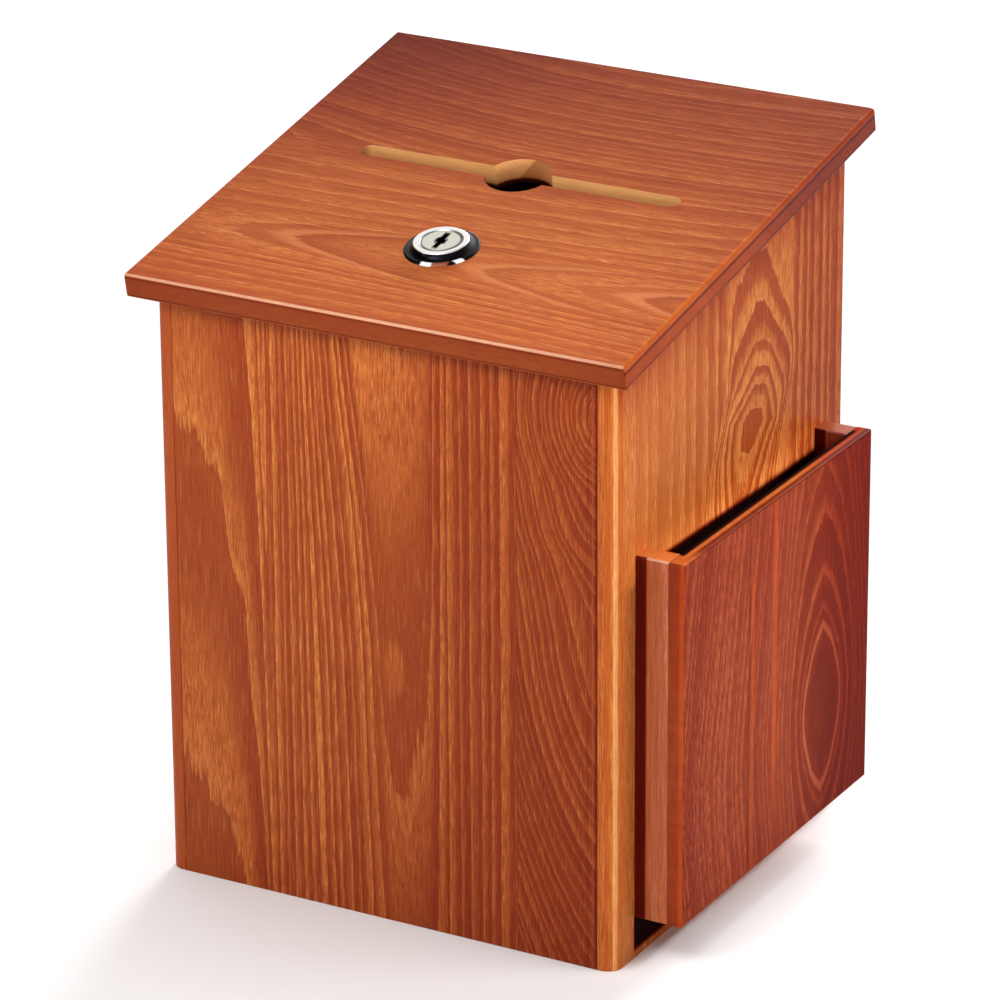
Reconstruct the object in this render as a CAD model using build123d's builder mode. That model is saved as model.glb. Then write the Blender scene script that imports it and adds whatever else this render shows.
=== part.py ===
from build123d import *
import os
from math import sin, cos, tan, radians, sqrt

os.makedirs("parts", exist_ok=True)

# ---------------------------------------------------------------- driving dimensions (mm)
# Frame: origin at the centre of the box's footprint, on the surface it stands on.
# +X is the box's right (the card pocket's side), -Y its front, +Z up.
body_w = 197.0          # outside width of the box, across the two side panels
body_d = 191.0          # outside depth of the box
front_h = 238.3         # height of the lid's underside at the plane of the front face
slope = 10.85           # the lid falls towards the front by this many degrees

side_t = 7.6            # side panels
front_t = 7.6           # front panel, set between the side panels
back_t = 7.6            # back panel, set between the side panels
corner_r = 6.3          # rounding of the side panels' outer upright edges
ease = 0.4              # eased arrises elsewhere
lid_gap = 0.25          # shut line between the lid and the tops of the walls

floor_t = 6.0           # bottom panel
floor_z = 0.0           # its underside is flush with the walls' lower edges

lid_t = 10.0            # lid slab
lid_w = 212.0
lid_front = 6.75        # overhang past the front face, along the slope
lid_back = 7.45         # overhang past the back face, along the slope
lid_top_r = 1.5         # rounded top arris
lid_low_r = 0.8         # eased lower arris

slot_len = 138.5        # card slot, over its round ends
slot_w = 8.0
slot_v = 109.0          # slot centre, up the slope from the front face's plane
finger_r = 13.0         # round finger hole in the middle of the slot

# cam lock, square to the lid
lock_v = 49.3           # lock axis, up the slope from the front face's plane
lock_hole_r = 9.6
flange_r = 14.5
face_r = 10.65
head_h = 3.4
barrel_r = 9.4
barrel_flat = 8.1       # half distance across the barrel's two flats
barrel_len = 19.5       # below the lid's top face
plug_r = 7.8
bore_r = 7.85
nut_t = 4.5
washer_t = 1.0
cam_t = 2.0
cam_reach = 38.0

# strike, inside the front panel
strike_w = 32.0
strike_t = 1.5
strike_leg = 17.5       # how far it reaches in over the cam
strike_drop = 21.0
strike_top = 8.6        # depth of the strike's upper face under the lid

# butt hinges, knuckles under the lid's rear overhang
hinge_x = 60.0          # hinge centres, left and right of the middle
hinge_len = 30.0
leaf_t = 1.0
knuckle_r = 2.2
pin_r = 1.15
pin_run = 0.05          # running clearance on radius in the lid's knuckle
pin_drop = 2.5          # pin axis below the lid's underside
pin_back = 2.9          # pin axis behind the back face
hinge_screw_x = 9.0     # screws, either side of each hinge's middle

# card pocket on the right side
pocket_y0 = -80.2       # front end
pocket_y1 = 76.9        # rear end
pocket_z0 = 17.3        # underside
pocket_z1 = 164.2       # top
pocket_gap = 13.85      # thickness of the strips, so the width of the slot for cards
pocket_t = 6.4          # outer panel
strip_y = 9.0           # upright strips, front to back
strip_z = 9.0           # bottom strip, height
pocket_ease = 0.8

# ---------------------------------------------------------------- derived planes and heights
hw = body_w / 2
hd = body_d / 2
s, c = sin(radians(slope)), cos(radians(slope))


def under_lid(y):
    """Height of the lid's underside over the plane y."""
    return front_h + (y + hd) * tan(radians(slope))


def lid_point(x, v, w):
    """World position of a point given across, up the slope, and out of the lid's underside."""
    return Vector(x, -hd + v * c - w * s, front_h + v * s + w * c)


def on_lid(w):
    """Plane parallel to the lid, w above its underside; local x is across and local y runs up the slope."""
    return Plane(origin=lid_point(0, 0, w), x_dir=(1, 0, 0), z_dir=(0, -s, c))


lid_normal = Axis(origin=(0, 0, 0), direction=(0, -s, c))   # sorts pieces of the lid from underneath to outside
wall_cut = lid_gap / c   # the shut line, measured straight down


def wall_top(y):
    return under_lid(y) - wall_cut


inner_x = hw - side_t                       # inside faces of the side panels
inner_y0 = -hd + front_t                    # inside face of the front panel
inner_y1 = hd - back_t                      # inside face of the back panel
pin_y = hd + pin_back
pin_w = -pin_drop
pin_v = (pin_y + hd + pin_w * s) / c
pin_at = lid_point(0, pin_v, pin_w)
lid_v0 = -lid_front
lid_v1 = body_d / c + lid_back
leaf_v0 = pin_v - 10.4                      # inner end of the hinge leaves

# ---------------------------------------------------------------- box walls
# brads: thin headless nails, set below the surface and filled over, so the outside stays plain wood
brad_r = 0.6
brad_len = 22.0
brad_set = 0.8          # depth of the filled nail heads under the wood's surface
corner_brad_z = (28.0, 82.0, 136.0, 190.0)
floor_brad_y = (-45.0, 0.0, 45.0)
floor_brad_z = floor_z + floor_t / 2
brad_front_y = -hd + front_t / 2
brad_back_y = hd - back_t / 2

# pocket screws, driven from inside the box
pocket_screw_z = (50.0, 130.0)
pocket_screw_y = (pocket_y0 + strip_y / 2, pocket_y1 - strip_y / 2)
pscrew_len = 19.0
pscrew_r = 1.5
pscrew_head_r = 3.0
pscrew_head_h = 1.8


def side_outline():
    """Corner points of a wall as seen from the side, with its sloping top."""
    return [(-hd, 0), (hd, 0), (hd, wall_top(hd)), (-hd, wall_top(-hd))]


with BuildPart() as right_side:
    with BuildSketch(Plane.YZ.offset(inner_x)):
        with BuildLine():
            Polyline(*side_outline(), close=True)
        make_face()
    extrude(amount=side_t)
    fillet(right_side.edges().filter_by(Axis.Z).filter_by_position(Axis.X, hw - 0.1, hw + 0.1), corner_r)
    chamfer(right_side.edges().filter_by(Axis.Y).filter_by_position(Axis.Z, -0.1, 0.1), ease)
    # brad holes into the front, back and bottom panels
    with BuildSketch(Plane.YZ.offset(inner_x)):
        with Locations(*[(y, z) for y in (brad_front_y, brad_back_y) for z in corner_brad_z]):
            Circle(brad_r)
        with Locations(*[(y, floor_brad_z) for y in floor_brad_y]):
            Circle(brad_r)
    extrude(amount=side_t - brad_set, mode=Mode.SUBTRACT)
    # pocket screw holes, countersunk on the inside
    with Locations(*[Location(Plane(origin=(inner_x, y, z), x_dir=(0, 1, 0), z_dir=(-1, 0, 0)))
                     for y in pocket_screw_y for z in pocket_screw_z]):
        CounterSinkHole(pscrew_r, pscrew_head_r, depth=side_t, counter_sink_angle=90)
right_side.part.label = "right_side_panel"
export_step(right_side.part, "parts/right_side_panel.step")

with BuildPart() as left_side:
    with BuildSketch(Plane.YZ.offset(-hw)):
        with BuildLine():
            Polyline(*side_outline(), close=True)
        make_face()
    extrude(amount=side_t)
    fillet(left_side.edges().filter_by(Axis.Z).filter_by_position(Axis.X, -hw - 0.1, -hw + 0.1), corner_r)
    chamfer(left_side.edges().filter_by(Axis.Y).filter_by_position(Axis.Z, -0.1, 0.1), ease)
    with BuildSketch(Plane.YZ.offset(-inner_x)):
        with Locations(*[(y, z) for y in (brad_front_y, brad_back_y) for z in corner_brad_z]):
            Circle(brad_r)
        with Locations(*[(y, floor_brad_z) for y in floor_brad_y]):
            Circle(brad_r)
    extrude(amount=-(side_t - brad_set), mode=Mode.SUBTRACT)
left_side.part.label = "left_side_panel"
export_step(left_side.part, "parts/left_side_panel.step")

# the strike's upper face meets the inside of the front panel here
strike_at = lid_point(0, (inner_y0 + hd - strike_top * s) / c, -strike_top)
strike_low = strike_at.Z - strike_drop
strike_screw_z = strike_low + 6.0
strike_screw_x = 9.0
sscrew_r = 1.3
sscrew_head_r = 2.6
sscrew_len = 7.0
floor_brad_x = (-50.0, 0.0, 50.0)

with BuildPart() as front:
    with BuildSketch(Plane.YZ.offset(-inner_x)):
        with BuildLine():
            Polyline((-hd, 0), (inner_y0, 0), (inner_y0, wall_top(inner_y0)), (-hd, wall_top(-hd)), close=True)
        make_face()
    extrude(amount=2 * inner_x)
    # eased upright edges leave the fine joint line beside the side panels
    chamfer(front.edges().filter_by(Axis.Z).filter_by_position(Axis.Y, -hd - 0.1, -hd + 0.1), ease)
    chamfer(front.edges().filter_by(Axis.X).filter_by_position(Axis.Z, -0.1, 0.1), ease)
    for sign in (-1, 1):
        with BuildSketch(Plane(origin=(sign * inner_x, brad_front_y, 0), x_dir=(0, 1, 0), z_dir=(-sign, 0, 0))):
            with Locations(*[(0, -sign * z) for z in corner_brad_z]):
                Circle(brad_r)
        extrude(amount=brad_len + brad_set - side_t, mode=Mode.SUBTRACT)
    with BuildSketch(Plane(origin=(0, inner_y0, 0), x_dir=(-1, 0, 0), z_dir=(0, 1, 0))):
        with Locations(*[(x, floor_brad_z) for x in floor_brad_x]):
            Circle(brad_r)
        with Locations(*[(x, strike_screw_z) for x in (-strike_screw_x, strike_screw_x)]):
            Circle(sscrew_r)
    extrude(amount=-(sscrew_len - strike_t), mode=Mode.SUBTRACT)
    with BuildSketch(Plane(origin=(0, inner_y0, 0), x_dir=(-1, 0, 0), z_dir=(0, 1, 0))):
        with Locations(*[(x, floor_brad_z) for x in floor_brad_x]):
            Circle(brad_r)
    extrude(amount=-(front_t - brad_set), mode=Mode.SUBTRACT)
front.part.label = "front_panel"
export_step(front.part, "parts/front_panel.step")

# ---------------------------------------------------------------- hinge screws' places, shared by panel, lid and leaves
hscrew_r = 1.0
hscrew_head_r = 2.0
hscrew_v = (leaf_v0 + pin_v - 2.6) / 2
body_screw_len = 12.0
lid_screw_len = 7.0
body_leaf_w = -2 * pin_drop             # underside of the leaf on the back panel's top edge
hinge_centres = (-hinge_x, hinge_x)
hscrew_x = [hx + dx for hx in hinge_centres for dx in (-hinge_screw_x, hinge_screw_x)]

with BuildPart() as back:
    with BuildSketch(Plane.YZ.offset(-inner_x)):
        with BuildLine():
            Polyline((inner_y1, 0), (hd, 0), (hd, wall_top(hd)), (inner_y1, wall_top(inner_y1)), close=True)
        make_face()
    extrude(amount=2 * inner_x)
    chamfer(back.edges().filter_by(Axis.Z).filter_by_position(Axis.Y, hd - 0.1, hd + 0.1), ease)
    chamfer(back.edges().filter_by(Axis.X).filter_by_position(Axis.Z, -0.1, 0.1), ease)
    # housings for the closed hinges, cut square to the lid
    with BuildSketch(on_lid(body_leaf_w)):
        with Locations(*[(hx, pin_v - 5.0) for hx in hinge_centres]):
            Rectangle(hinge_len + 0.6, 20.0)
    extrude(amount=8.0, mode=Mode.SUBTRACT)
    # pilot holes for the hinge screws
    with BuildSketch(on_lid(body_leaf_w)):
        with Locations(*[(x, hscrew_v) for x in hscrew_x]):
            Circle(hscrew_r)
    extrude(amount=-(body_screw_len - leaf_t), mode=Mode.SUBTRACT)
    for sign in (-1, 1):
        with BuildSketch(Plane(origin=(sign * inner_x, brad_back_y, 0), x_dir=(0, 1, 0), z_dir=(-sign, 0, 0))):
            with Locations(*[(0, -sign * z) for z in corner_brad_z]):
                Circle(brad_r)
        extrude(amount=brad_len + brad_set - side_t, mode=Mode.SUBTRACT)
    with BuildSketch(Plane(origin=(0, inner_y1, 0), x_dir=(1, 0, 0), z_dir=(0, -1, 0))):
        with Locations(*[(x, floor_brad_z) for x in floor_brad_x]):
            Circle(brad_r)
    extrude(amount=-(back_t - brad_set), mode=Mode.SUBTRACT)
back.part.label = "back_panel"
export_step(back.part, "parts/back_panel.step")

with BuildPart() as floor:
    with BuildSketch(Plane.XY.offset(floor_z)):
        Rectangle(2 * inner_x, inner_y1 - inner_y0)
    extrude(amount=floor_t)
    # brad holes in its four edges
    for sign in (-1, 1):
        with BuildSketch(Plane(origin=(sign * inner_x, 0, floor_brad_z), x_dir=(0, 1, 0), z_dir=(-sign, 0, 0))):
            with Locations(*[(y, 0) for y in floor_brad_y]):
                Circle(brad_r)
        extrude(amount=brad_len + brad_set - side_t, mode=Mode.SUBTRACT)
    with BuildSketch(Plane(origin=(0, inner_y0, floor_brad_z), x_dir=(1, 0, 0), z_dir=(0, 1, 0))):
        with Locations(*[(x, 0) for x in floor_brad_x]):
            Circle(brad_r)
    extrude(amount=brad_len + brad_set - front_t, mode=Mode.SUBTRACT)
    with BuildSketch(Plane(origin=(0, inner_y1, floor_brad_z), x_dir=(1, 0, 0), z_dir=(0, -1, 0))):
        with Locations(*[(x, 0) for x in floor_brad_x]):
            Circle(brad_r)
    extrude(amount=brad_len + brad_set - back_t, mode=Mode.SUBTRACT)
floor.part.label = "bottom_panel"
export_step(floor.part, "parts/bottom_panel.step")

with BuildPart() as corner_brads:
    for sign in (-1, 1):
        with BuildSketch(Plane.YZ.offset(sign * (hw - brad_set))):
            with Locations(*[(y, z) for y in (brad_front_y, brad_back_y) for z in corner_brad_z]):
                Circle(brad_r)
        extrude(amount=-sign * brad_len)
corner_brads.part.label = "corner_brads"
export_step(corner_brads.part, "parts/corner_brads.step")

with BuildPart() as floor_brads:
    for sign in (-1, 1):
        with BuildSketch(Plane.YZ.offset(sign * (hw - brad_set))):
            with Locations(*[(y, floor_brad_z) for y in floor_brad_y]):
                Circle(brad_r)
        extrude(amount=-sign * brad_len)
    with BuildSketch(Plane(origin=(0, -hd + brad_set, floor_brad_z), x_dir=(1, 0, 0), z_dir=(0, 1, 0))):
        with Locations(*[(x, 0) for x in floor_brad_x]):
            Circle(brad_r)
    extrude(amount=brad_len)
    with BuildSketch(Plane(origin=(0, hd - brad_set, floor_brad_z), x_dir=(1, 0, 0), z_dir=(0, -1, 0))):
        with Locations(*[(x, 0) for x in floor_brad_x]):
            Circle(brad_r)
    extrude(amount=brad_len)
floor_brads.part.label = "floor_brads"
export_step(floor_brads.part, "parts/floor_brads.step")

# ---------------------------------------------------------------- card pocket on the right side
pocket_x0 = hw
pocket_x1 = hw + pocket_gap
pocket_x2 = pocket_x1 + pocket_t

with BuildPart() as pocket_panel:
    with BuildSketch(Plane.YZ.offset(pocket_x1)):
        with Locations(((pocket_y0 + pocket_y1) / 2, (pocket_z0 + pocket_z1) / 2)):
            Rectangle(pocket_y1 - pocket_y0, pocket_z1 - pocket_z0)
    extrude(amount=pocket_t)
    fillet(pocket_panel.edges().filter_by_position(Axis.X, pocket_x2 - 0.1, pocket_x2 + 0.1), pocket_ease)
    chamfer(pocket_panel.edges().filter_by(Axis.Y).filter_by_position(Axis.X, pocket_x1 - 0.1, pocket_x1 + 0.1), 0.3)
pocket_panel.part.label = "pocket_panel"
export_step(pocket_panel.part, "parts/pocket_panel.step")


def strip_blank(y0, y1, z0, z1):
    with BuildSketch(Plane.YZ.offset(pocket_x0)) as blank:
        with Locations(((y0 + y1) / 2, (z0 + z1) / 2)):
            Rectangle(y1 - y0, z1 - z0)
    extrude(blank.sketch, amount=pocket_gap)


def strip_pilots(y):
    with BuildSketch(Plane.YZ.offset(pocket_x0)) as pilots:
        with Locations(*[(y, z) for z in pocket_screw_z]):
            Circle(pscrew_r)
    extrude(pilots.sketch, amount=pscrew_len - side_t, mode=Mode.SUBTRACT)


with BuildPart() as pocket_front:
    strip_blank(pocket_y0, pocket_y0 + strip_y, pocket_z0, pocket_z1)
    chamfer(pocket_front.edges().filter_by(Axis.Z).filter_by_position(Axis.Y, pocket_y0 - 0.1, pocket_y0 + 0.1)
            .filter_by_position(Axis.X, pocket_x1 - 0.1, pocket_x1 + 0.1), 0.3)
    chamfer(pocket_front.edges().filter_by(Axis.X).filter_by_position(Axis.Y, pocket_y0 - 0.1, pocket_y0 + 0.1), 0.5)
    strip_pilots(pocket_screw_y[0])
pocket_front.part.label = "pocket_front_strip"
export_step(pocket_front.part, "parts/pocket_front_strip.step")

with BuildPart() as pocket_rear:
    strip_blank(pocket_y1 - strip_y, pocket_y1, pocket_z0, pocket_z1)
    chamfer(pocket_rear.edges().filter_by(Axis.X).filter_by_position(Axis.Y, pocket_y1 - 0.1, pocket_y1 + 0.1), 0.5)
    strip_pilots(pocket_screw_y[1])
pocket_rear.part.label = "pocket_rear_strip"
export_step(pocket_rear.part, "parts/pocket_rear_strip.step")

with BuildPart() as pocket_bottom:
    strip_blank(pocket_y0 + strip_y, pocket_y1 - strip_y, pocket_z0, pocket_z0 + strip_z)
pocket_bottom.part.label = "pocket_bottom_strip"
export_step(pocket_bottom.part, "parts/pocket_bottom_strip.step")


def recess(radius, depth):
    """Cross recess of a screw head, in its local XY plane, cut downwards."""
    with BuildSketch(Plane.XY) as cross:
        Rectangle(radius * 1.05, radius * 0.28)
        Rectangle(radius * 0.28, radius * 1.05)
    extrude(cross.sketch, amount=-depth, mode=Mode.SUBTRACT)


# countersunk screws: head flat on local XY, point down local -Z
def screw_profile(head_r, shank_r, length):
    with BuildSketch(Plane.XZ) as half:
        with BuildLine() as outline:
            Polyline((0, 0), (head_r, 0), (shank_r, -(head_r - shank_r)), (shank_r, -(length - 1.6 * shank_r)),
                     (0.15 * shank_r, -length), (0, -length), close=True)
        make_face(outline.edges())
    revolve(half.sketch, axis=Axis.Z)


with BuildPart() as pocket_screw:
    screw_profile(pscrew_head_r - 0.02, pscrew_r - 0.02, pscrew_len)
    recess(pscrew_head_r, 1.1)

with BuildPart() as pocket_screws:
    with Locations(*[Location(Plane(origin=(inner_x, y, z), x_dir=(0, 1, 0), z_dir=(-1, 0, 0)))
                     for y in pocket_screw_y for z in pocket_screw_z]):
        add(pocket_screw.part)
pocket_screws.part.label = "pocket_screws"
export_step(pocket_screws.part, "parts/pocket_screws.step")

# ---------------------------------------------------------------- lid
with BuildPart() as lid:
    with BuildSketch(on_lid(0)):
        with Locations((0, (lid_v0 + lid_v1) / 2)):
            Rectangle(lid_w, lid_v1 - lid_v0)
    extrude(amount=lid_t)
    upright = lid.edges().filter_by(lambda e: abs(e.length - lid_t) < 1e-3)
    fillet(upright, 1.0)
    fillet(lid.faces().sort_by(lid_normal)[-1].outer_wire().edges(), lid_top_r)
    fillet(lid.faces().sort_by(lid_normal)[0].outer_wire().edges(), lid_low_r)
    # card slot with round ends, and the finger hole in its middle
    with BuildSketch(on_lid(-1.0)):
        with Locations((0, slot_v)):
            SlotOverall(slot_len, slot_w)
            Circle(finger_r)
        with Locations((0, lock_v)):
            Circle(lock_hole_r)
    extrude(amount=lid_t + 2.0, mode=Mode.SUBTRACT)
    # pilot holes for the hinge screws, from below
    with BuildSketch(on_lid(0)):
        with Locations(*[(x, hscrew_v) for x in hscrew_x]):
            Circle(hscrew_r)
    extrude(amount=lid_screw_len - leaf_t, mode=Mode.SUBTRACT)
lid.part.label = "lid_panel"
export_step(lid.part, "parts/lid_panel.step")

# ---------------------------------------------------------------- hinges
# the knuckles turn on the pin's axis, parallel to X
def knuckle(x0, x1, bore):
    with BuildSketch(Plane(origin=(x0, pin_at.Y, pin_at.Z), x_dir=(0, 1, 0), z_dir=(1, 0, 0))) as barrel:
        Circle(knuckle_r)
        Circle(bore, mode=Mode.SUBTRACT)
    extrude(barrel.sketch, amount=x1 - x0)


def leaf_plate(hx, w0, keep_middle):
    """Flat leaf from its inner end to the pin's axis, notched round the other leaf's knuckles."""
    with BuildSketch(on_lid(w0)) as sk:
        with Locations((hx, (leaf_v0 + pin_v) / 2)):
            Rectangle(hinge_len, pin_v - leaf_v0)
        if keep_middle:
            with Locations((hx - 10.05, pin_v - 1.3), (hx + 10.05, pin_v - 1.3)):
                Rectangle(10.1, 3.0, mode=Mode.SUBTRACT)
        else:
            with Locations((hx, pin_v - 1.3)):
                Rectangle(10.2, 3.0, mode=Mode.SUBTRACT)
        fillet(sk.vertices().group_by(Axis.Y)[0], 1.5)
    extrude(sk.sketch, amount=leaf_t)


def leaf_sinks(hx, w, up):
    """Countersunk screw holes through a leaf whose open face is at w."""
    n = Vector(0, -s, c) if up else Vector(0, s, -c)
    with Locations(*[Location(Plane(origin=lid_point(hx + dx, hscrew_v, w), x_dir=(1, 0, 0), z_dir=n))
                     for dx in (-hinge_screw_x, hinge_screw_x)]):
        CounterSinkHole(hscrew_r, hscrew_head_r, depth=leaf_t + 0.5, counter_sink_angle=90)


def pin_hole(x0, x1, bore):
    with BuildSketch(Plane(origin=(x0, pin_at.Y, pin_at.Z), x_dir=(0, 1, 0), z_dir=(1, 0, 0))) as hole:
        Circle(bore)
    extrude(hole.sketch, amount=x1 - x0, mode=Mode.SUBTRACT)


for hx, name in zip(hinge_centres, ("left", "right")):
    with BuildPart() as body_leaf:
        leaf_plate(hx, body_leaf_w, keep_middle=False)
        knuckle(hx - hinge_len / 2, hx - 5.1, pin_r)
        knuckle(hx + 5.1, hx + hinge_len / 2, pin_r)
        pin_hole(hx - hinge_len / 2, hx + hinge_len / 2, pin_r)
        # the web that carries the plate round to the knuckles
        leaf_sinks(hx, body_leaf_w + leaf_t, up=True)
    body_leaf.part.label = name + "_hinge_body_leaf"
    export_step(body_leaf.part, "parts/" + name + "_hinge_body_leaf.step")

    with BuildPart() as lid_leaf:
        leaf_plate(hx, -leaf_t, keep_middle=True)
        knuckle(hx - 5.0, hx + 5.0, pin_r + pin_run)
        pin_hole(hx - 5.0, hx + 5.0, pin_r + pin_run)
        leaf_sinks(hx, -leaf_t, up=False)
    lid_leaf.part.label = name + "_hinge_lid_leaf"
    export_step(lid_leaf.part, "parts/" + name + "_hinge_lid_leaf.step")

    with BuildPart() as hinge_pin:
        with BuildSketch(Plane(origin=(hx - hinge_len / 2 - 0.3, pin_at.Y, pin_at.Z), x_dir=(0, 1, 0), z_dir=(1, 0, 0))):
            Circle(pin_r)
        extrude(amount=hinge_len + 0.6)
        chamfer(hinge_pin.edges(), 0.25)
    hinge_pin.part.label = name + "_hinge_pin"
    export_step(hinge_pin.part, "parts/" + name + "_hinge_pin.step")

with BuildPart() as long_screw:
    screw_profile(hscrew_head_r - 0.02, hscrew_r - 0.02, body_screw_len)
    recess(hscrew_head_r, 0.7)

with BuildPart() as hinge_body_screws:
    with Locations(*[Location(Plane(origin=lid_point(x, hscrew_v, body_leaf_w + leaf_t), x_dir=(1, 0, 0), z_dir=(0, -s, c)))
                     for x in hscrew_x]):
        add(long_screw.part)
hinge_body_screws.part.label = "hinge_body_screws"
export_step(hinge_body_screws.part, "parts/hinge_body_screws.step")

with BuildPart() as short_screw:
    screw_profile(hscrew_head_r - 0.02, hscrew_r - 0.02, lid_screw_len)
    recess(hscrew_head_r, 0.7)

with BuildPart() as hinge_lid_screws:
    with Locations(*[Location(Plane(origin=lid_point(x, hscrew_v, -leaf_t), x_dir=(1, 0, 0), z_dir=(0, s, -c)))
                     for x in hscrew_x]):
        add(short_screw.part)
hinge_lid_screws.part.label = "hinge_lid_screws"
export_step(hinge_lid_screws.part, "parts/hinge_lid_screws.step")

# ---------------------------------------------------------------- strike plate inside the front panel
sy, sz = strike_at.Y, strike_at.Z
tip_y, tip_z = sy + strike_leg * c, sz + strike_leg * s
in_y = sy + strike_t
in_z = sz - strike_t / c + strike_t * tan(radians(slope))      # inside of the bend

with BuildPart() as strike:
    with BuildSketch(Plane.YZ.offset(-strike_w / 2)):
        with BuildLine():
            Polyline((sy, strike_low), (sy, sz), (tip_y, tip_z), (tip_y + strike_t * s, tip_z - strike_t * c),
                     (in_y, in_z), (in_y, strike_low), close=True)
        make_face()
    extrude(amount=strike_w)
    fillet(strike.edges().filter_by(Axis.X).filter_by_position(Axis.Y, in_y - 0.01, in_y + 0.01)
           .filter_by_position(Axis.Z, in_z - 0.01, in_z + 0.01), 0.8)
    fillet(strike.edges().filter_by(Axis.Y).filter_by_position(Axis.Z, strike_low - 0.01, strike_low + 0.01), 2.0)
    fillet(strike.edges().filter_by(lambda e: abs(e.length - strike_t) < 1e-3 and e.center().Y > tip_y - 0.5), 2.0)
    with Locations(*[Location(Plane(origin=(x, in_y, strike_screw_z), x_dir=(1, 0, 0), z_dir=(0, 1, 0)))
                     for x in (-strike_screw_x, strike_screw_x)]):
        CounterSinkHole(sscrew_r, sscrew_head_r, depth=strike_t + 0.5, counter_sink_angle=90)
strike.part.label = "strike_plate"
export_step(strike.part, "parts/strike_plate.step")

with BuildPart() as strike_screw:
    screw_profile(sscrew_head_r - 0.02, sscrew_r - 0.02, sscrew_len)
    recess(sscrew_head_r, 0.8)

with BuildPart() as strike_screws:
    with Locations(*[Location(Plane(origin=(x, in_y, strike_screw_z), x_dir=(1, 0, 0), z_dir=(0, 1, 0)))
                     for x in (-strike_screw_x, strike_screw_x)]):
        add(strike_screw.part)
strike_screws.part.label = "strike_screws"
export_step(strike_screws.part, "parts/strike_screws.step")

# ---------------------------------------------------------------- cam lock
# levels along the lock's axis, measured from the lid's top face
barrel_end = -barrel_len
stop_top = barrel_end - 0.1
stop_low = stop_top - 0.9
cam_top = stop_low
cam_low = cam_top - cam_t
spring_t = 0.8
screw_head = 2.8


def on_lock(h):
    """Plane square to the lock's axis, h above the lid's top face."""
    return Plane(origin=lid_point(0, lock_v, lid_t + h), x_dir=(1, 0, 0), z_dir=(0, -s, c))


def ring_sector(r0, r1, a0, a1):
    def at(r, a):
        return (r * cos(radians(a)), r * sin(radians(a)))
    with BuildLine() as ring:
        CenterArc((0, 0), r0, a0, a1 - a0)
        Line(at(r0, a1), at(r1, a1))
        CenterArc((0, 0), r1, a0, a1 - a0)
        Line(at(r0, a0), at(r1, a0))
    make_face(ring.edges())


lock_axis = Axis(origin=lid_point(0, lock_v, lid_t), direction=(0, -s, c))
# plane that holds the lock's axis: local x is the radius, local y runs along the axis
lock_section = Plane(origin=lid_point(0, lock_v, lid_t), x_dir=(1, 0, 0), z_dir=Vector(1, 0, 0).cross(Vector(0, -s, c)))

with BuildPart() as housing:
    with BuildSketch(lock_section):
        with BuildLine():
            Polyline((bore_r, barrel_end), (bore_r, head_h - 0.25), (bore_r + 0.25, head_h), (face_r - 0.35, head_h))
            RadiusArc((face_r - 0.35, head_h), (face_r, head_h - 0.35), 0.35)
            # hollowed flank down to a rolled lip
            ThreePointArc((face_r, head_h - 0.35), (face_r + 0.85, head_h - 1.55), (flange_r - 1.3, 0.95))
            ThreePointArc((flange_r - 1.3, 0.95), (flange_r - 0.30, 0.72), (flange_r, 0.3))
            Polyline((flange_r, 0.3), (flange_r, 0), (barrel_r, 0), (barrel_r, barrel_end), (bore_r, barrel_end))
        make_face()
    revolve(axis=lock_axis)
    # two flats along the threaded barrel
    with BuildSketch(on_lock(-0.6)):
        with Locations((0, barrel_flat + 5), (0, -barrel_flat - 5)):
            Rectangle(40, 10)
    extrude(amount=barrel_end + 0.6 - 0.1, mode=Mode.SUBTRACT)
    # lug on the end of the barrel that stops the cam a quarter turn apart
    with BuildSketch(on_lock(barrel_end)):
        ring_sector(bore_r, barrel_r, 181, 269)
        with Locations((0, -barrel_flat - 5)):
            Rectangle(40, 10, mode=Mode.SUBTRACT)
    extrude(amount=-0.8)
housing.part.label = "lock_housing"
export_step(housing.part, "parts/lock_housing.step")

with BuildPart() as washer:
    with BuildSketch(on_lock(-lid_t)):
        Circle(13.4)
        Circle(barrel_r + 0.15, mode=Mode.SUBTRACT)
        with PolarLocations(13.4, 16):
            Circle(0.7, mode=Mode.SUBTRACT)
    extrude(amount=-washer_t)
washer.part.label = "lock_washer"
export_step(washer.part, "parts/lock_washer.step")

with BuildPart() as nut:
    with BuildSketch(on_lock(-lid_t - washer_t)):
        RegularPolygon(12.0, 6, major_radius=False)
        Circle(barrel_r + 0.02, mode=Mode.SUBTRACT)
    extrude(amount=-nut_t)
    chamfer(nut.edges().filter_by(GeomType.CIRCLE), 0.4)
nut.part.label = "lock_nut"
export_step(nut.part, "parts/lock_nut.step")

wafer_h = [-2.0 - 2.4 * i for i in range(5)]
key_len = 11.0

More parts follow.
